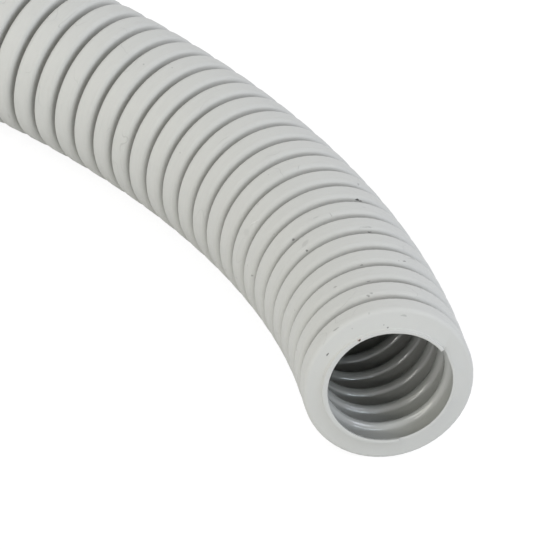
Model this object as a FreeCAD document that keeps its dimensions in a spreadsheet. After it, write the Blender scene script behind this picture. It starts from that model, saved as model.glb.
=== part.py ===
# A one metre length of corrugated plastic conduit, nominal size 20, cut square at both ends.
#
# The conduit lies on a level floor. Its bore starts at the origin, in the middle of the straight end,
# and runs along +X. Near the other end it bends towards -Y, flat on the floor,
# and its last rib stands straight again behind the second cut.
#
# The wall is thin and folded, with flat crests outside, narrow grooves between them
# and a ridge inside the bore behind each groove. One rib is a straight turned ring,
# from the middle of one groove to the middle of the next. In the bend each ring keeps its shape,
# and only the floors of the grooves are wider on the outer side and narrower on the inner side.
import FreeCAD, Part
import math
import os

from FreeCAD import Placement, Rotation, Vector
import Sketcher

NODE = "conduit"

# Driving sizes in millimetres, and counts of ribs.
SIZES = [
    ("outside_diameter", 20.0, "over the crests"),
    ("fold_depth", 2.9, "from the crests in to the ridges of the bore"),
    ("wall", 0.4, "thickness of the folded wall"),
    ("pitch", 3.83, "from one rib to the next"),
    ("groove_mouth", 1.0, "width of a groove under the eased corners of the crests"),
    ("groove_floor", 0.6, "width of a groove at its floor"),
    ("crest_corner", 0.4, "eased corner of a crest"),
    ("ridge_corner", 0.4, "eased corner of an inside ridge"),
    ("end_stub", 0.2, "from the middle of the last groove out to the cut"),
    ("bend_radius", 110.0, "of the centre line"),
    ("ribs_in_run", 236, "long straight run from the origin"),
    ("ribs_in_bend", 24, "bend, its first and last ribs included"),
    ("ribs_in_tail", 1, "straight, between the bend and its cut end"),
]

# Right half of the wall's section: name, distance along the axis from the middle of the rib,
# and distance from the axis. The floor runs a whole pitch out, past the cut between two ribs.
SIDE_TOP = "(Sizes.pitch - Sizes.groove_mouth) / 2"
SIDE_FOOT = "(Sizes.pitch - Sizes.groove_floor) / 2"
CREST = "Sizes.outside_diameter / 2"
RIDGE = f"({CREST} - Sizes.fold_depth)"
SECTION = [
    ("crest_edge", f"{SIDE_TOP} - Sizes.crest_corner", CREST),
    ("side_top", SIDE_TOP, f"{CREST} - Sizes.crest_corner"),
    ("side_foot", SIDE_FOOT, f"{RIDGE} + Sizes.wall"),
    ("floor_end", "Sizes.pitch", f"{RIDGE} + Sizes.wall"),
    ("ridge_end", "Sizes.pitch", RIDGE),
    ("ridge_edge", f"{SIDE_FOOT} - Sizes.wall + Sizes.ridge_corner", RIDGE),
    ("ridge_foot", f"{SIDE_FOOT} - Sizes.wall", f"{RIDGE} + Sizes.ridge_corner"),
    ("valley_edge", f"{SIDE_TOP} - Sizes.wall", f"{CREST} - Sizes.wall"),
]


def make_sheet(doc):
    sheet = doc.addObject("Spreadsheet::Sheet", "Sizes")
    for row, (name, value, note) in enumerate(SIZES, start=1):
        sheet.set(f"A{row}", name)
        sheet.set(f"B{row}", str(value))
        sheet.set(f"C{row}", note)
        sheet.setAlias(f"B{row}", name)
    doc.recompute()
    return sheet


def draw_section(body, sheet):
    """The wall's section as a closed outline, its left half the mirror of its right half."""
    sketch = body.newObject("Sketcher::SketchObject", "WallSection")
    plane = next(f for f in body.Origin.OriginFeatures if f.Role == "XY_Plane")
    sketch.AttachmentSupport = (plane, [""])
    sketch.MapMode = "FlatFace"
    right = []
    for _, along, out in SECTION:
        right.append(Vector(sheet.evalExpression(along), sheet.evalExpression(out), 0))
    left = [Vector(-corner.x, corner.y, 0) for corner in reversed(right)]
    corners = right + left
    count = len(corners)
    for i in range(count):
        sketch.addGeometry(Part.LineSegment(corners[i], corners[(i + 1) % count]), False)
    for i in range(count):
        sketch.addConstraint(Sketcher.Constraint("Coincident", i, 2, (i + 1) % count, 1))
    for i, (name, along, out) in enumerate(SECTION):
        place = (("DistanceX", "x", corners[i].x, along), ("DistanceY", "y", corners[i].y, out))
        for kind, axis, value, expression in place:
            made = sketch.addConstraint(Sketcher.Constraint(kind, -1, 1, i, 1, value))
            sketch.renameConstraint(made, f"{name}_{axis}")
            sketch.setExpression(f"Constraints.{name}_{axis}", expression)
        sketch.addConstraint(Sketcher.Constraint("Symmetric", i, 1, count - 1 - i, 1, -2))
    return sketch


def turn_ring(doc, sheet):
    """One folded ring of the wall, turned about the X axis, with floors that run on past it."""
    body = doc.addObject("PartDesign::Body", "Ring")
    sketch = draw_section(body, sheet)
    turned = body.newObject("PartDesign::Revolution", "Turned")
    turned.Profile = sketch
    turned.ReferenceAxis = (sketch, ["H_Axis"])
    turned.Angle = 360
    body.Tip = turned
    return body


def cut_rib(doc, ring, name, start_lean=0, end_lean=0, stub="0"):
    """The ring between two cuts, each through the middle of a groove.

    A lean of 1 points the cut at the centre of the bend, and 0 leaves it square.
    A stub moves the first cut out past the middle of its groove.
    """
    reach = "Sizes.outside_diameter"
    spread = f"Sizes.pitch / 2 * {reach} / Sizes.bend_radius"
    start = f"-Sizes.pitch / 2 - {stub}"
    end = "Sizes.pitch / 2"
    block = doc.addObject("Part::Wedge", f"{name}Block")
    sides = {
        "Xmin": f"{start} + {start_lean} * {spread}",
        "Xmax": f"{end} - {end_lean} * {spread}",
        "X2min": f"{start} - {start_lean} * {spread}",
        "X2max": f"{end} + {end_lean} * {spread}",
    }
    for side in ("Ymin", "Zmin", "Z2min"):
        sides[side] = f"-{reach}"
    for side in ("Ymax", "Zmax", "Z2max"):
        sides[side] = reach
    for side, expression in sides.items():
        block.setExpression(side, expression)
    rib = doc.addObject("Part::Common", name)
    rib.Base = ring
    rib.Tool = block
    return rib


def lay_ribs(sheet, ribs):
    """Places a rib of the right kind at every pitch, and returns them with the bent end's middle."""
    half = sheet.pitch / 2
    turn = -math.degrees(2 * math.atan(half / sheet.bend_radius))
    in_run = int(sheet.ribs_in_run)
    in_bend = int(sheet.ribs_in_bend)
    count = in_run + in_bend + int(sheet.ribs_in_tail)
    kinds = ["run"] * in_run + ["entry"] + ["bend"] * (in_bend - 2) + ["entry"]
    kinds += ["run"] * (count - len(kinds))
    kinds[0] = kinds[-1] = "end"
    swap_ends = Placement(Vector(), Rotation(Vector(0, 1, 0), 180))
    joint = Vector(sheet.end_stub, 0, 0)
    laid = []
    for i, kind in enumerate(kinds):
        turns = min(max(i - in_run, 0), in_bend - 1)
        heading = Rotation(Vector(0, 0, 1), turns * turn)
        step = heading.multVec(Vector(half, 0, 0))
        place = Placement(joint + step, heading)
        if kind != "bend" and turns > 0:
            place = place.multiply(swap_ends)
        rib = ribs[kind].Shape.copy()
        rib.Placement = place
        laid.append(rib)
        joint = joint + step * 2
    return laid, joint + step * (sheet.end_stub / half)


def flat_faces(shape):
    return [face for face in shape.Faces if isinstance(face.Surface, Part.Plane)]


def turned_faces(shape):
    return [face for face in shape.Faces if not isinstance(face.Surface, Part.Plane)]


def join_ribs(doc, laid, bent_end):
    """Sews the turned faces of all the ribs and the two cut faces into the one solid of the conduit."""
    faces = []
    for rib, end in ((laid[0], Vector()), (laid[-1], bent_end)):
        faces.append(min(flat_faces(rib), key=lambda face: face.CenterOfMass.distanceToPoint(end)))
    for rib in laid:
        faces += turned_faces(rib)
    wall = Part.makeCompound(faces)
    wall.sewShape()
    conduit = doc.addObject("Part::Feature", "Conduit")
    conduit.Label = NODE
    conduit.Shape = Part.makeSolid(wall.Shells[0]).removeSplitter()
    return conduit


def check(doc, conduit):
    for item in doc.Objects:
        if {"Invalid", "Error"} & set(item.State):
            raise RuntimeError(f"{item.Name} failed: {item.State}")
    shape = conduit.Shape
    if shape.isNull() or not shape.isValid() or len(shape.Solids) != 1:
        raise RuntimeError("the conduit isn't one valid solid")


doc = FreeCAD.newDocument("CorrugatedConduit")
sheet = make_sheet(doc)
ring = turn_ring(doc, sheet)
ribs = {
    "run": cut_rib(doc, ring, "RunRib"),
    "entry": cut_rib(doc, ring, "EntryRib", end_lean=1),
    "bend": cut_rib(doc, ring, "BendRib", start_lean=1, end_lean=1),
    "end": cut_rib(doc, ring, "EndRib", stub="Sizes.end_stub"),
}
doc.recompute()
laid, bent_end = lay_ribs(sheet, ribs)
conduit = join_ribs(doc, laid, bent_end)
check(doc, conduit)

os.makedirs("parts", exist_ok=True)
conduit.Shape.exportStep(f"parts/{NODE}.step")
box = conduit.Shape.BoundBox
print(f"{len(laid)} ribs, {len(conduit.Shape.Faces)} faces, volume {conduit.Shape.Volume:.1f} mm3")
print(f"box {box.XMin:.3f} {box.YMin:.3f} {box.ZMin:.3f} to {box.XMax:.3f} {box.YMax:.3f} {box.ZMax:.3f}")
print(f"middle of the bent end {bent_end.x:.3f}, {bent_end.y:.3f}")
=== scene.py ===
# %% [markdown]
# # A length of corrugated conduit
# The real thing is a metre of light grey plastic tube for wiring, folded into ribs all the way so that it bends
# without kinking. It lies on a level floor, straight for most of its length and bent near the end that we look into.
# The CAD model holds its true sizes, so the script starts by loading that and keeps the box it fills.

# %% Load the CAD model
import math

import bmesh
import bpy
from mathutils import Matrix, Vector


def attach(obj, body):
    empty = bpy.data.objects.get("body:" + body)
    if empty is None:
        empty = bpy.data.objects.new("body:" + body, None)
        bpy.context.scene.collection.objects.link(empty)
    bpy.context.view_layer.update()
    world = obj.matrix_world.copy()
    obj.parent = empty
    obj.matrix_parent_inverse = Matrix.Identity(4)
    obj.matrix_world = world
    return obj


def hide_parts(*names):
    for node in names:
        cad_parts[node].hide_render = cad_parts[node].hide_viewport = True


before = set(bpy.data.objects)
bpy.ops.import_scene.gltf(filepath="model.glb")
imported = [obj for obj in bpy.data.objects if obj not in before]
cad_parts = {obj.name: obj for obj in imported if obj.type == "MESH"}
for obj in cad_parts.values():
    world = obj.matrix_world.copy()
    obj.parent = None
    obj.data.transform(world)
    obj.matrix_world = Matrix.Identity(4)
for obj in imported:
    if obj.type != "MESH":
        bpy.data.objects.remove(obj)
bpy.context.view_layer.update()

MM = 0.001

# %% [markdown]
# ## Sizes
# These are the sizes of the wall in millimetres. They are the same as those of the CAD part, because a tenth of a
# millimetre in the pitch would add up to six whole ribs along the run. Two places that are within NEAR of each
# other count as the same.

# %% Sizes of the wall
PITCH = 3.83
CREST = 10.0
RIDGE = 7.1
WALL = 0.4
FLOOR = RIDGE + WALL
VALLEY = CREST - WALL
SIDE_TOP = 1.415
SIDE_FOOT = 1.615
CORNER = 0.4
END_STUB = 0.2
BEND_RADIUS = 110.0
RIBS_IN_RUN = 236
RIBS_IN_BEND = 24
RIBS_IN_TAIL = 1
RIBS = RIBS_IN_RUN + RIBS_IN_BEND + RIBS_IN_TAIL
LENGTH = RIBS * PITCH + 2 * END_STUB
NEAR = 0.02
print("ribs", RIBS, "length along the axis", round(LENGTH, 2), "mm")

# %% [markdown]
# ## The line of the wall
# A turned wall is drawn as a line and spun about its axis. Each rib has a flat crest with rounded shoulders,
# sides that lean a little, and a narrow groove on either side. The corners are written down sharp, each with the
# name of its rounding, and a vertex bevel rounds them later.
#
# Inside, each groove shows as a smooth ridge. Its line is a quarter of an ellipse, from the ridge's top to where it
# meets the side, so that lamps draw thin bright lines on it. Only the ribs near the two ends are as fine as this.
# The long run between them keeps the plain chamfers of the CAD part, because a shape that is repeated hundreds of
# times has to stay light.

# %% Corners of one rib
SIDE_SLOPE = (SIDE_FOOT - SIDE_TOP) / (CREST - CORNER - FLOOR)
SIDE_AT_CREST = SIDE_TOP - CORNER * SIDE_SLOPE
INNER_TOP = SIDE_TOP - WALL
INNER_AT_RIDGE = SIDE_FOOT - WALL + CORNER * SIDE_SLOPE
CREST_HOLD = 0.72
RIDGE_ROUND = 1.0
RIDGE_HALF = 0.757
RIDGE_STEPS = (12, 30, 48, 66, 84)

OUTER_FINE = [
    (SIDE_FOOT, FLOOR, "foot"),
    (SIDE_AT_CREST, CREST, "crest"),
    (CREST_HOLD, CREST, None),
]
OUTER_PLAIN = [
    (SIDE_FOOT, FLOOR, None),
    (SIDE_TOP, CREST - CORNER, None),
    (SIDE_TOP - CORNER, CREST, None),
]
INNER_FINE = []
for degrees in RIDGE_STEPS:
    lean = math.radians(degrees)
    along = PITCH / 2 - RIDGE_HALF * math.sin(lean)
    out = RIDGE + RIDGE_ROUND * (1 - math.cos(lean))
    INNER_FINE.append((along, out, None))
INNER_FINE.append((INNER_TOP, VALLEY, "valley"))
INNER_PLAIN = [
    (INNER_AT_RIDGE, RIDGE, None),
    (INNER_TOP, VALLEY, None),
]
ROUNDINGS = {
    "foot": (0.12, 2),
    "collar": (0.18, 2),
    "crest": (0.58, 4),
    "valley": (0.3, 1),
    "lip": (0.05, 2),
}


def rib_middle(rib):
    """The place along the axis of the middle of a rib, counted from the straight end."""
    return END_STUB + PITCH * (rib + 0.5)


def rib_line(rib, half):
    """The corners of one rib from its left to its right, from those of its right half."""
    middle = rib_middle(rib)
    left = [(middle - along, out, role) for along, out, role in half]
    right = [(middle + along, out, role) for along, out, role in reversed(half)]
    return left + right


def ribs_line(first, last, half):
    """The corners of all the ribs from the first to the last."""
    corners = []
    for rib in range(first, last + 1):
        corners += rib_line(rib, half)
    return corners


print("corners of a fine rib:", len(rib_line(0, OUTER_FINE)), "outside,", len(rib_line(0, INNER_FINE)), "inside")

# %% [markdown]
# ## Four turned stretches
# Each end of the conduit is one line that comes along the outside, turns round the lip and goes back in along the
# bore, so that the lip is part of the same fold. The run between them needs an outer and an inner line.
# The end in view is spun in the most steps, and the inside of the long run, which nobody sees, in the fewest.
# At each lip the last groove's foot is the foot of a short collar, and gets a rounding of its own.

# %% Lines of the four stretches
OUTER_RUN = (4, 231)
INNER_RUN = (12, 247)
LAST = RIBS - 1

straight_end = (
    ribs_line(0, INNER_RUN[0] - 1, INNER_FINE)[::-1]
    + [(0.0, RIDGE, "lip"), (0.0, FLOOR, "lip")]
    + ribs_line(0, OUTER_RUN[0] - 1, OUTER_FINE)
)
bent_end = (
    ribs_line(OUTER_RUN[1] + 1, LAST, OUTER_FINE)
    + [(LENGTH, FLOOR, "lip"), (LENGTH, RIDGE, "lip")]
    + ribs_line(INNER_RUN[1] + 1, LAST, INNER_FINE)[::-1]
)
for line in (straight_end, bent_end):
    lip = [i for i, (_, _, role) in enumerate(line) if role == "lip"]
    for i in (lip[0] - 1, lip[1] + 1):
        along, out, role = line[i]
        if role == "foot":
            line[i] = (along, out, "collar")
STRETCHES = [
    ("straight end", straight_end, 36),
    ("outside of the run", ribs_line(*OUTER_RUN, OUTER_PLAIN), 24),
    ("inside of the run", ribs_line(*INNER_RUN, INNER_PLAIN), 12),
    ("bent end", bent_end, 60),
]


def turn_line(corners, steps):
    """The wall that a line of corners makes, rounded and spun about the X axis."""
    bm = bmesh.new()
    made = [bm.verts.new((along, 0.0, out)) for along, out, _ in corners]
    for a, b in zip(made, made[1:]):
        bm.edges.new((a, b))
    for role, (offset, segments) in ROUNDINGS.items():
        chosen = [vert for vert, corner in zip(made, corners) if corner[2] == role]
        if chosen:
            bmesh.ops.bevel(
                bm, geom=chosen, offset=offset, affect="VERTICES", segments=segments, profile=0.5, material=-1)
    bmesh.ops.spin(
        bm, geom=bm.verts[:] + bm.edges[:], axis=(1, 0, 0), cent=(0, 0, 0),
        angle=2 * math.pi, steps=steps, use_merge=True)
    return bm


print("stretches:", ", ".join(name for name, _, _ in STRETCHES))

# %% [markdown]
# The four stretches are turned into one wall. The run's chamfers are single flat bands, so the rings between
# them are marked as sharp.

# %% Turn the stretches
wall = bmesh.new()
for name, corners, steps in STRETCHES:
    part = turn_line(corners, steps)
    if "run" in name:
        for edge in part.edges:
            edge.smooth = abs(edge.verts[0].co.x - edge.verts[1].co.x) > NEAR
    mesh = bpy.data.meshes.new(name)
    part.to_mesh(mesh)
    part.free()
    wall.from_mesh(mesh)
    bpy.data.meshes.remove(mesh)
    print(name, "in", steps, "steps, faces so far", len(wall.faces))

# %% [markdown]
# ## Joining the stretches
# Two stretches meet across a groove outside, or across a ridge inside. Their open rings have different numbers
# of points there, which a bridge copes with. The wall is level there, so the uneven faces don't show.

# %% Bridge the open rings


def out_of(co):
    """The distance of a point from the axis."""
    return math.hypot(co.y, co.z)


def open_ring(bm, along, out):
    """The open edges of the ring at one place along the axis and one distance from it."""
    def on_ring(vert):
        return abs(vert.co.x - along) < NEAR and abs(out_of(vert.co) - out) < NEAR

    return [edge for edge in bm.edges if edge.is_boundary and all(on_ring(vert) for vert in edge.verts)]


def open_places(bm):
    """Where the open rings are: (place along, distance from the axis), each once."""
    places = {}
    for edge in bm.edges:
        if edge.is_boundary:
            spot = edge.verts[0].co
            places[round(spot.x, 1), round(out_of(spot), 1)] = (spot.x, out_of(spot))
    return sorted(places.values())


places = open_places(wall)
for is_outer in (True, False):
    rings = [place for place in places if (place[1] > RIDGE + WALL / 2) == is_outer]
    for left, right in zip(rings[::2], rings[1::2]):
        edges = open_ring(wall, *left) + open_ring(wall, *right)
        made = bmesh.ops.bridge_loops(wall, edges=edges)["faces"]
        print("bridge at", round(left[0], 1), "mm, faces", len(made))

# %% [markdown]
# ## The cut
# The end was sawn or nipped off by hand. Past the last rib's flank only a short collar stands. Its lip isn't quite
# flat, to one side the blade took almost all of it off, with a sharp step where it broke out, and on the other side
# the cut has spread it. The faces there are split along lines through the axis at both ends of the cut-back sector,
# so that its steps are steep.

# %% Split the faces at the ends of the cut-back sector
FLANK = LENGTH - END_STUB - PITCH / 2 + SIDE_FOOT
COLLAR_TOP = FLOOR + 0.4
CUT_FROM = math.radians(47.0)
CUT_TO = math.radians(163.0)
STEP_TURN = 0.012
SPLIT_DEPTH = 0.3
SPLIT_TURN = 0.4


def clock(co):
    """The angle round the axis, from the top towards +Y."""
    return math.atan2(co.y, co.z)


for angle in (CUT_FROM, CUT_FROM + STEP_TURN, CUT_TO - STEP_TURN, CUT_TO):
    faces = []
    for face in wall.faces:
        middle = face.calc_center_median()
        at_collar = middle.x > FLANK - SPLIT_DEPTH and out_of(middle) < COLLAR_TOP
        if at_collar and abs(clock(middle) - angle) < SPLIT_TURN:
            faces.append(face)
    edges = dict.fromkeys(edge for face in faces for edge in face.edges)
    verts = dict.fromkeys(vert for face in faces for vert in face.verts)
    through_axis = Vector((0, math.cos(angle), -math.sin(angle)))
    bmesh.ops.bisect_plane(
        wall, geom=[*faces, *edges, *verts], dist=0.0001, plane_co=(0, 0, 0), plane_no=through_axis)
print("faces after the splits", len(wall.faces))

# %% [markdown]
# Then the points move. The mouth opens a little towards both sides, most where the blade broke out, and that
# fades along the bore and away from the axis. The collar gets its waves and its thicker side, and in the sector it
# goes back almost to the flank.

# %% Move the points of the lip
MOUTH_DEPTH = 0.95
MOUTH_FADE = 0.3
MOUTH_TOP = RIDGE + 0.7
MOUTH_TOP_FADE = 0.4
OPENED = 0.2
BREAK_OUT = 0.16
NICK = 0.14
NICK_TURN = 0.16
COLLAR_FOOT = FLANK - 0.06
LIP_WAVE = 0.015
THICK_SIDE = math.radians(-90.0)
THICK_FROM = RIDGE + 0.2
THICKER = 0.28
CUT_BACK = 0.94


def in_sector(angle):
    """Whether an angle round the axis is in the cut-back sector."""
    return CUT_FROM + STEP_TURN / 2 < angle < CUT_TO - STEP_TURN / 2


def mouth_growth(along, out, angle):
    """How much further from the axis a point at the mouth's edge is."""
    if along <= LENGTH - MOUTH_DEPTH or out >= MOUTH_TOP:
        return 0.0
    growth = OPENED * abs(math.sin(angle))
    if in_sector(angle):
        growth += BREAK_OUT
        if angle < CUT_FROM + NICK_TURN:
            growth += NICK
    inward_fade = min(1.0, (along - LENGTH + MOUTH_DEPTH) / MOUTH_FADE)
    return growth * inward_fade * min(1.0, (MOUTH_TOP - out) / MOUTH_TOP_FADE)


moved = 0
for vert in wall.verts:
    angle = clock(vert.co)
    out = out_of(vert.co)
    grown = out + mouth_growth(vert.co.x, out, angle)
    if vert.co.x > COLLAR_FOOT and out < COLLAR_TOP:
        reach = max(0.0, (vert.co.x - FLANK) / (LENGTH - FLANK))
        waves = math.sin(2 * angle + 0.8) + 0.6 * math.sin(5 * angle + 2.0) - 1.6
        vert.co.x += reach * LIP_WAVE * waves
        if out > THICK_FROM:
            facing = max(0.0, math.cos(angle - THICK_SIDE))
            grown += THICKER * facing ** 1.5 * min(1.0, (out - RIDGE) / WALL)
        if in_sector(angle):
            vert.co.x -= reach * (LENGTH - FLANK) * CUT_BACK
            moved += 1
    vert.co.y *= grown / out
    vert.co.z *= grown / out
print("points of the lip moved back:", moved)

# %% [markdown]
# ## Two skins
# The faces are turned to point outwards. Those of the bore get their own material slot, because its skin is smooth
# and glossy, while the outside has the satin skin of the mould. While the wall is straight, a face's distance from
# the axis and from the middle of its rib tell on which side it is. Corners that stay sharp are marked, so that
# smooth shading doesn't smear across them.

# %% Sort the faces into outside and bore
SHARP_ANGLE = math.radians(42)
END_DEPTH = 0.2

bmesh.ops.recalc_face_normals(wall, faces=wall.faces[:])
for edge in wall.edges:
    if edge.is_manifold and edge.calc_face_angle() > SHARP_ANGLE:
        edge.smooth = False
bore_faces = 0
for face in wall.faces:
    face.smooth = True
    middle = face.calc_center_median()
    out = out_of(middle)
    from_middle = abs((middle.x - END_STUB) / PITCH % 1 - 0.5) * PITCH
    middle_of_side = SIDE_TOP + (CREST - CORNER - out) * SIDE_SLOPE - WALL / 2
    in_bore = out < FLOOR - NEAR / 2 or (out < VALLEY + NEAR and from_middle < middle_of_side)
    on_cut = abs(face.normal.x) > 0.5 and (middle.x < END_DEPTH or middle.x > FLANK)
    face.material_index = int(in_bore and not on_cut)
    bore_faces += face.material_index
print("faces of the bore", bore_faces, "of", len(wall.faces))

# %% [markdown]
# ## The bend
# Bending such a tube opens the grooves on the outer side and closes them on the inner side, while each rib stays a
# flat stiff ring. So every rib's points are moved together, and only the faces between two ribs stretch.
# Before that, each point keeps its place on the straight tube as an attribute. The finish reads it later, so
# that marks and dirt follow the wall round the bend.

# %% Bend the ribs
straight_place = wall.verts.layers.float_vector.new("straight_place")
for vert in wall.verts:
    vert[straight_place] = vert.co

half = PITCH / 2
turn = -2 * math.atan(half / BEND_RADIUS)
moves = []
joint = Vector((END_STUB, 0, 0))
for rib in range(RIBS):
    turns = min(max(rib - RIBS_IN_RUN, 0), RIBS_IN_BEND - 1)
    heading = Matrix.Rotation(turns * turn, 4, "Z")
    step = heading @ Vector((half, 0, 0))
    moves.append(Matrix.Translation(joint + step) @ heading @ Matrix.Translation((-rib_middle(rib), 0, 0)))
    joint = joint + step * 2
for vert in wall.verts:
    rib = min(max(int((vert.co.x - END_STUB) / PITCH), 0), RIBS - 1)
    vert.co = MM * (moves[rib] @ vert.co)
print("the bent end is turned by", round(math.degrees((RIBS_IN_BEND - 1) * turn), 2), "degrees")

# %% [markdown]
# ## The finished wall
# Last, the closed wall becomes the object that stands for the CAD conduit.

# %% Make the conduit's object
open_edges = sum(not edge.is_manifold for edge in wall.edges)
mesh = bpy.data.meshes.new("conduit_wall")
wall.to_mesh(mesh)
wall.free()
conduit = bpy.data.objects.new("conduit_wall", mesh)
bpy.context.collection.objects.link(conduit)
triangles = sum(len(p.vertices) - 2 for p in mesh.polygons)
print("triangles", triangles, "open edges", open_edges)

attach(conduit, "root")
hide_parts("conduit")

# %% [markdown]
# ## Finishes as expressions
# A finish on real plastic is many faint things at once: cloudy colour, a skin that is a little rougher in places,
# dirt in the grooves and a few knocks; here the grooves also get painted shade. In nodes that is a lot of small
# sums. They are easier to read as Python expressions, so this class stands for one output of a node, and an operator
# on it adds the Math node.

# %% A field of values on a surface


class Field:
    """One output of a material's nodes."""

    def __init__(self, finish, socket):
        self.finish = finish
        self.socket = socket

    def maths(self, operation, *others):
        values = dict(enumerate((self, *others)))
        return self.finish.node("Math", {"operation": operation}, values)

    def __add__(self, other):
        return self.maths("ADD", other)

    def __sub__(self, other):
        return self.maths("SUBTRACT", other)

    def __mul__(self, other):
        return self.maths("MULTIPLY", other)

    def __truediv__(self, other):
        return self.maths("DIVIDE", other)

    __radd__ = __add__
    __rmul__ = __mul__


class Finish:
    """The nodes of one material or sky, with its shader and one way to add any other node."""

    def __init__(self, owner, shader="Principled BSDF"):
        owner.use_nodes = True
        self.owner = owner
        self.tree = owner.node_tree
        self.shader = self.tree.nodes[shader]

    def node(self, kind, settings, values, output=0):
        made = self.tree.nodes.new("ShaderNode" + kind)
        for setting, value in settings.items():
            setattr(made, setting, value)
        for socket, value in values.items():
            self.feed(made.inputs[socket], value)
        return Field(self, made.outputs[output])

    def feed(self, socket, value):
        if isinstance(value, Field):
            self.tree.links.new(value.socket, socket)
        else:
            socket.default_value = value

    def set(self, socket, value):
        self.feed(self.shader.inputs[socket], value)

    def mix(self, amount, before, after):
        """One colour where the amount is 0 and another where it is 1."""
        return self.node("Mix", {"data_type": "RGBA"}, {0: amount, 6: before, 7: after}, output=2)

    def between(self, value, low, high):
        """0 below low, 1 above high and smooth between them. It falls instead where low is the larger."""
        ends = {
            "Value": value,
            "From Min": min(low, high),
            "From Max": max(low, high),
            "To Min": float(low > high),
            "To Max": float(low < high),
        }
        return self.node("MapRange", {"interpolation_type": "SMOOTHSTEP"}, ends)

    def noise(self, place, scale, detail=2.0, output=0):
        return self.node("TexNoise", {}, {"Vector": place, "Scale": scale, "Detail": detail}, output=output)

    def stretched(self, place, scale):
        return self.node("Mapping", {"vector_type": "POINT"}, {"Vector": place, "Scale": scale})

    def bump(self, height):
        """Relief in millimetres."""
        values = {"Height": height, "Distance": MM, "Strength": 1.0}
        self.set("Normal", self.node("Bump", {}, values))


print("Field and Finish are ready")

# %% [markdown]
# Every finish starts from the place on the straightened wall. A mark's Mapping node of the Texture type moves, turns
# and scales that place into the mark's own frame. There the mark is simply everything within about one unit of the
# middle.

# %% Places on the wall


def wall_place(finish):
    """A place on the straightened wall in millimetres, as (vector, along, distance from the axis)."""
    place = finish.node("Attribute", {"attribute_name": "straight_place"}, {}, output="Vector")
    along = finish.node("SeparateXYZ", {}, {0: place}, output=0)
    spoke = finish.node("VectorMath", {"operation": "MULTIPLY"}, {0: place, 1: (0, 1, 1)})
    out = finish.node("VectorMath", {"operation": "LENGTH"}, {0: spoke}, output="Value")
    return place, along, out


def past_rib_middle(along):
    """How far a place is past the middle of its rib, in millimetres."""
    turns = ((along - END_STUB) / PITCH).maths("FRACT")
    return (turns - 0.5) * PITCH


def mark_shape(finish, place, along, angle, out, sizes, lean):
    """1 in the middle of a mark and 0 outside it, with a soft rim between."""
    angle = math.radians(angle)
    frame_turn = Matrix.Rotation(-angle, 3, "X") @ Matrix.Rotation(math.radians(lean), 3, "Z")
    values = {
        "Vector": place,
        "Location": (along, out * math.sin(angle), out * math.cos(angle)),
        "Rotation": frame_turn.to_euler("XYZ"),
        "Scale": sizes,
    }
    local = finish.node("Mapping", {"vector_type": "TEXTURE"}, values)
    reach = finish.node("VectorMath", {"operation": "LENGTH"}, {0: local}, output="Value")
    return finish.between(reach, 1.1, 0.6)


print("places on the wall and shapes of marks are ready")

# %% [markdown]
# ## Marks that the photo shows
# New conduit is clean, but handling leaves small knocks: a chip at the edge of a groove, dark specks, a scuff or
# a fine scratch, and one reddish brown speck on the lip. Each is written down as a place on the straightened wall,
# its size and its colour. Lengths are in millimetres and angles in degrees. A size of DEEP reaches through the skin.

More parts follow.
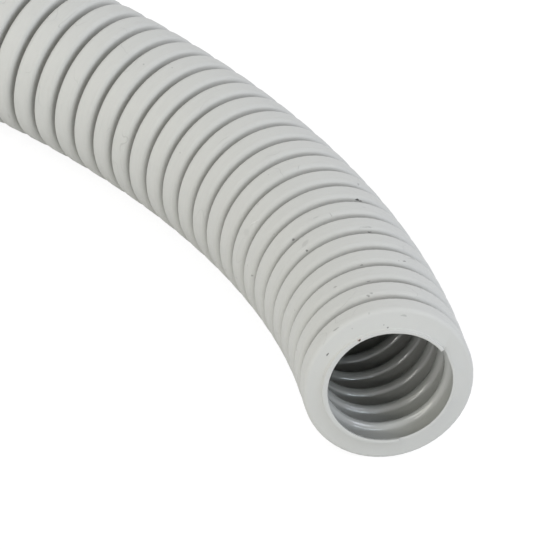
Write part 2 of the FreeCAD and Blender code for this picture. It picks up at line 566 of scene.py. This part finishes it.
# %% Marks: name, along, clock angle, out, (size along, around, out), turn, colour, strength
DIRT = (0.05, 0.05, 0.045, 1)
SOOT = (0.16, 0.16, 0.155, 1)
PALE = (0.78, 0.78, 0.76, 1)
RUSTY = (0.3, 0.13, 0.08, 1)
DEEP = 0.5
MARKS = [
    ("rusty halo on the lip", 1000.0, -37.0, 7.58, (DEEP, 0.26, 0.15), 0, RUSTY, 0.6),
    ("dark core on the lip", 1000.0, -36.6, 7.53, (DEEP, 0.16, 0.11), 0, DIRT, 0.95),
    ("scuff left of the mouth", 999.43, -64.4, 8.66, (DEEP, 0.26, 0.1), 20, SOOT, 0.85),
    ("speck over the mouth", 999.59, -10.0, 7.7, (DEEP, 0.12, 0.1), 0, SOOT, 0.8),
    ("faint speck over the mouth", 999.5, -13.0, 8.1, (DEEP, 0.1, 0.12), 0, SOOT, 0.35),
    ("scuff on the last crest but one", 995.33, -18.3, 9.9, (0.1, 0.28, DEEP), -20, SOOT, 0.5),
    ("second scuff beside it", 995.1, -16.0, 9.9, (0.09, 0.24, DEEP), -25, SOOT, 0.45),
    ("smear over the mouth", 999.37, 2.1, 9.15, (DEEP, 0.4, 0.12), 15, SOOT, 0.3),
    ("dash at the right", 987.4, 17.3, 9.96, (0.1, 0.24, DEEP), 10, SOOT, 0.8),
    ("speck beside the dash", 987.55, 13.0, 9.9, (0.09, 0.09, DEEP), 0, SOOT, 0.6),
    ("chip at a groove", 972.68, 13.0, 9.56, (DEEP, 0.32, 0.14), 0, DIRT, 0.95),
    ("tail of the chip", 972.68, 15.6, 9.46, (DEEP, 0.34, 0.08), 0, DIRT, 0.7),
    ("speck by the far edge", 968.41, 24.7, 9.88, (0.14, 0.16, DEEP), 40, SOOT, 0.4),
    ("dash in a groove edge", 980.3, 5.2, 9.38, (DEEP, 0.3, 0.06), 0, DIRT, 0.75),
    ("scuffs over the dash", 979.9, 3.0, 9.97, (0.08, 0.9, DEEP), 0, SOOT, 0.3),
    ("knock on the left shoulder", 980.16, -42.7, 9.66, (DEEP, 0.14, 0.14), 30, SOOT, 0.85),
    ("knock one rib back", 976.36, -46.5, 9.6, (DEEP, 0.2, 0.14), 30, SOOT, 0.8),
    ("brushed patch", 979.2, -41.0, 10.0, (0.4, 0.7, DEEP), 30, SOOT, 0.16),
    ("dull ring", 975.19, 10.7, 9.99, (0.2, 0.3, DEEP), 0, SOOT, 0.1),
    ("dashes on the shoulder", 998.97, -46.5, 9.88, (0.09, 0.5, DEEP), 0, SOOT, 0.5),
    ("dot on the flank", 999.39, -36.9, 8.99, (DEEP, 0.09, 0.09), 0, SOOT, 0.3),
    ("faint dot on the shoulder", 999.11, -22.1, 9.84, (0.12, 0.12, DEEP), 0, SOOT, 0.22),
    ("scuff on the third crest", 990.98, -36.7, 9.99, (0.16, 0.24, DEEP), -30, SOOT, 0.4),
    ("faint patch", 975.63, -25.3, 9.99, (0.14, 0.4, DEEP), -10, SOOT, 0.2),
    ("short scratch", 976.01, -15.3, 9.91, (0.4, 0.06, DEEP), 10, SOOT, 0.3),
    ("curved scratch", 968.1, -60.9, 9.99, (0.9, 0.07, DEEP), 60, PALE, 0.7),
    ("rubbed patch", 967.82, -70.3, 9.99, (0.6, 0.5, DEEP), 20, SOOT, 0.1),
    ("speck at the left", 972.5, -55.8, 9.6, (DEEP, 0.1, 0.08), 0, SOOT, 0.5),
    ("speck low on the left", 970.84, -87.4, 9.99, (0.16, 0.16, DEEP), 0, SOOT, 0.2),
    ("speck in a left groove", 972.27, -91.0, 9.84, (0.16, 0.12, DEEP), 30, SOOT, 0.5),
    ("dash by the mouth", 991.8, -14.2, 9.5, (DEEP, 0.22, 0.07), 0, SOOT, 0.5),
    ("dash two ribs back", 987.9, -13.9, 9.52, (DEEP, 0.2, 0.07), 0, SOOT, 0.5),
    ("scratch further back", 964.44, -11.9, 9.96, (0.5, 0.05, DEEP), -35, SOOT, 0.25),
    ("speck far back", 936.54, -16.9, 9.99, (0.14, 0.12, DEEP), 0, SOOT, 0.4),
]
print("marks:", len(MARKS))

# %% [markdown]
# ## Outside of the wall
# The plastic is a satin light grey with a slight lean to green. Clouds of a slightly other grey lie over it, and the
# skin has a faint grain from the mould blocks. Each crest is painted a touch darker at its edge towards the mouth,
# and so is all that lies lower than the crests; both are painted shade. Low in the grooves a darker grey stands for
# a little dust and painted shade together.

# %% Colour of the outside
BODY_GREY = (0.63, 0.634, 0.609, 1)
CLOUD_GREY = (0.616, 0.623, 0.602, 1)
SKIN_GREY = (0.593, 0.598, 0.577, 1)
# Painted shade for each crest's edge towards the mouth and for all that lies lower than the crests.
PAINTED_SHADE_GREY = (0.575, 0.579, 0.556, 1)
# Dark grey for dust and painted shade low in the grooves.
DUST_AND_SHADE_GREY = (0.33, 0.327, 0.31, 1)

outside = Finish(bpy.data.materials.new("pvc_outside"))
place, along, out = wall_place(outside)
cloud = outside.noise(place, 0.09, 3.0)
grain = outside.noise(place, 2.4, 3.0)
skin = outside.noise(outside.stretched(place, (2.2, 0.5, 0.5)), 1.0, 4.0)
on_crest = outside.between(out, CREST - 0.5, CREST - 0.1)
below_crest = outside.between(out, CREST - 0.1, CREST - 0.5)
# Painted shade on each crest's edge towards the mouth.
crest_edge_shade = outside.between(past_rib_middle(along), 0.5, 1.2) * on_crest
off_the_ends = outside.between(along, 0.9, 1.4) * outside.between(along, LENGTH - 0.9, LENGTH - 1.4)
in_groove = outside.between(out, CREST - 0.35, CREST - 1.0) * off_the_ends
# Dust and painted shade: the grooves are darkened low down, a little unevenly with the grain.
dust_and_groove_shade = in_groove * (0.35 + grain * 0.5)

colour = outside.mix(outside.between(cloud, 0.3, 0.7) * 0.5, BODY_GREY, CLOUD_GREY)
colour = outside.mix(outside.between(skin, 0.42, 0.75) * 0.5, colour, SKIN_GREY)
# Painted shade: the crests' edges towards the mouth and all below the crests are darkened.
colour = outside.mix(crest_edge_shade * 0.8, colour, PAINTED_SHADE_GREY)
colour = outside.mix(below_crest * 0.65, colour, PAINTED_SHADE_GREY)
# Dust and painted shade in the grooves.
colour = outside.mix(dust_and_groove_shade, colour, DUST_AND_SHADE_GREY)
print("nodes so far", len(outside.tree.nodes))

# %% [markdown]
# Hair scratches are the contour lines of a soft noise, kept only where a second noise is high, so they are short,
# curved and rare. Specks are the middles of a few cells of a Voronoi pattern.

# %% Scratches and specks
line = (outside.noise(outside.stretched(place, (0.35, 0.22, 0.22)), 1.0, 1.0) - 0.5).maths("ABSOLUTE")
scratched = outside.between(outside.noise(place, 0.16, 1.0), 0.56, 0.66)
scratches = outside.between(line, 0.006, 0.002) * scratched * on_crest
colour = outside.mix(scratches * 0.2, colour, SOOT)

speck_cells = {"Vector": place, "Scale": 0.33, "Randomness": 1.0}
off_middle = outside.node("TexVoronoi", {"feature": "F1"}, speck_cells, output="Distance")
cell = outside.node("TexVoronoi", {"feature": "F1"}, speck_cells, output="Color")
chosen = outside.between(outside.node("SeparateColor", {}, {0: cell}), 0.72, 0.95)
specks = outside.between(off_middle, 0.05, 0.025) * chosen
colour = outside.mix(specks * 0.5, colour, SOOT)
print("nodes so far", len(outside.tree.nodes))

# %% [markdown]
# The photo's own marks come last. A noise first moves each place a little, so that no mark has a clean outline.
# The relief is in millimetres, so that it stays far thinner than the wall.

# %% Marks, roughness and relief
wobble = outside.noise(place, 3.0, 2.0, output=1)
wobble = outside.node("VectorMath", {"operation": "SUBTRACT"}, {0: wobble, 1: (0.5, 0.5, 0.5)})
wobbled = outside.node("VectorMath", {"operation": "MULTIPLY_ADD"}, {0: wobble, 1: (0.22, 0.22, 0.22), 2: place})

knocks = 0.0
for _, *where, tint, strength in MARKS:
    amount = mark_shape(outside, wobbled, *where) * strength
    colour = outside.mix(amount, colour, tint)
    knocks = amount + knocks
outside.set("Base Color", colour)
outside.set("Roughness", 0.53 + outside.between(grain, 0.3, 0.7) * 0.1 + dust_and_groove_shade * 0.15 + knocks * 0.15)
outside.set("Specular IOR Level", 0.35)
outside.bump(skin * 0.014 + grain * 0.006 - scratches * 0.012 - knocks * 0.03)
conduit.data.materials.append(outside.owner)
print("nodes of the outside", len(outside.tree.nodes))

# %% [markdown]
# ## Skin of the bore
# Inside, the plastic cooled against nothing but air, so its skin is smooth and shows the lamps as thin bright lines
# on the ridges. Its grey is darker than the outside's and a touch colder; the darker grey is painted shade for the
# inside of the tube. Very faint flow lines run round the bore. A coat gives the sharp part of the shine.

# %% Glossy plastic of the bore
# The bore greys are darker than the outside's: painted shade for the inside of the tube.
SHADED_BORE_GREY = (0.55, 0.56, 0.54, 1)
SHADED_FLOW_GREY = (0.52, 0.532, 0.515, 1)
SHADED_BORE_CLOUD_GREY = (0.56, 0.56, 0.53, 1)

bore = Finish(bpy.data.materials.new("pvc_bore"))
place, _, _ = wall_place(bore)
flow = bore.noise(bore.stretched(place, (1.6, 0.12, 0.12)), 1.0, 3.0)
cloud = bore.noise(place, 0.2, 2.0)
colour = bore.mix(bore.between(flow, 0.35, 0.7) * 0.5, SHADED_BORE_GREY, SHADED_FLOW_GREY)
colour = bore.mix(bore.between(cloud, 0.4, 0.7) * 0.3, colour, SHADED_BORE_CLOUD_GREY)
bore.set("Base Color", colour)
bore.set("Roughness", 0.1 + bore.between(cloud, 0.3, 0.7) * 0.05)
bore.set("Coat Weight", 0.6)
bore.set("Coat Roughness", 0.03)
bore.bump(flow * 0.008 + cloud * 0.02)
conduit.data.materials.append(bore.owner)
print("nodes of the bore", len(bore.tree.nodes))

# %% [markdown]
# ## Floor and background
# The conduit lies on plain white. The floor is pale paper for all light that falls on the conduit. For the camera
# it also glows, enough to come out white away from the conduit and still show the soft shadow under it.

# %% Floor
FLOOR_SIZE = 12
FLOOR_SHADE = 0.88
GLOW = 1.12
GLOW_SHARE = 0.82

bpy.ops.mesh.primitive_plane_add(size=FLOOR_SIZE, location=(0.5, 0, -CREST * MM))
floor = bpy.context.object
floor.name = "floor"
paper = Finish(bpy.data.materials.new("floor_paper"))
paper.set("Base Color", (FLOOR_SHADE, FLOOR_SHADE, FLOOR_SHADE, 1))
paper.set("Roughness", 0.9)
paper.set("Specular IOR Level", 0.0)
seen = paper.node("LightPath", {}, {}, output="Is Camera Ray")
glow = paper.node("Emission", {}, {"Strength": GLOW})
lit = Field(paper, paper.shader.outputs[0])
both = paper.node("MixShader", {}, {0: seen * GLOW_SHARE, 1: lit, 2: glow})
paper.feed(paper.tree.nodes["Material Output"].inputs["Surface"], both)
floor.data.materials.append(paper.owner)
print("floor at", -CREST, "mm")

# %% [markdown]
# ## Light
# The photo's light is soft and comes from all round, as in a light tent. The sky gives a part of it, and shows as
# plain white behind everything and in every reflection.

# %% Sky
SKY_LEVEL = 0.4

world = bpy.data.worlds.new("studio")
bpy.context.scene.world = world
sky = Finish(world, "Background")
shown = sky.node("LightPath", {}, {}, output="Is Camera Ray")
for ray in ("Is Glossy Ray", "Is Transmission Ray"):
    shown = shown.maths("MAXIMUM", sky.node("LightPath", {}, {}, output=ray))
sky.set("Color", (1, 1, 1, 1))
sky.set("Strength", SKY_LEVEL + shown * (1 - SKY_LEVEL))
print("sky level", SKY_LEVEL)

# %% [markdown]
# Four large lamps give the rest. The two on the left of the camera are a little warm and light the right of the
# bore, and the two on the right are cooler. Two long strips hang low, and their reflections are the thin bright
# lines on the ridges of the bore.

# %% Lamps: name, place, (width, height), watts, tint
LAMPS = [
    ("left lamp", (0.0, -1.9, 2.2), (1.3, 1.3), 22, (1.0, 0.99, 0.97)),
    ("front lamp", (0.35, -2.6, 1.25), (1.3, 1.3), 10, (1.0, 0.99, 0.86)),
    ("right lamp", (2.9, 0.1, 2.0), (1.2, 1.2), 19, (0.84, 0.88, 1.0)),
    ("far right lamp", (2.6, 1.6, 1.2), (1.2, 1.2), 16, (0.94, 0.95, 1.0)),
    ("low left strip", (1.26, -2.57, 0.54), (1.9, 0.15), 8, (1.0, 0.97, 0.9)),
    ("low right strip", (3.258, -1.19, 0.54), (1.0, 0.15), 6, (0.8, 0.9, 1.0)),
]
LIT_PLACE = Vector((0.9, -0.02, 0))

for name, spot, (width, height), watts, tint in LAMPS:
    data = bpy.data.lights.new(name, "AREA")
    data.shape = "RECTANGLE"
    data.size = width
    data.size_y = height
    data.energy = watts
    data.color = tint
    lamp = bpy.data.objects.new(name, data)
    lamp.location = spot
    lamp.rotation_euler = (LIT_PLACE - Vector(spot)).to_track_quat("-Z", "Y").to_euler()
    bpy.context.collection.objects.link(lamp)
    print(name, "at", spot, "m,", watts, "W")

# %% [markdown]
# ## Camera
# The photo's view is that of a four hundred millimetre lens on a full-frame camera, seventy centimetres away. It
# looks down at the open end and is rolled a little. Its place and direction were found by matching the ribs.

# %% Camera
CAMERA_PLACE = Vector((1280.356, -575.66, 340.235))
CAMERA_LOOK = Vector((-0.438491, 0.764344, -0.472764))
CAMERA_UP = Vector((-0.367427, 0.327599, 0.870444))
FOCAL_PIXELS = 6100.3
IMAGE_PIXELS = 550
SENSOR_WIDTH = 36

camera_data = bpy.data.cameras.new("camera")
camera = bpy.data.objects.new("camera", camera_data)
bpy.context.collection.objects.link(camera)
bpy.context.scene.camera = camera
axes = Matrix((CAMERA_LOOK.cross(CAMERA_UP), CAMERA_UP, -CAMERA_LOOK)).transposed().to_4x4()
camera.matrix_world = Matrix.Translation(MM * CAMERA_PLACE) @ axes
camera_data.sensor_width = SENSOR_WIDTH
camera_data.lens = SENSOR_WIDTH * FOCAL_PIXELS / IMAGE_PIXELS
camera_data.clip_start = 0.01
camera_data.clip_end = 30
bpy.context.scene.view_settings.view_transform = "Standard"
print("focal length", round(camera_data.lens, 1), "mm")
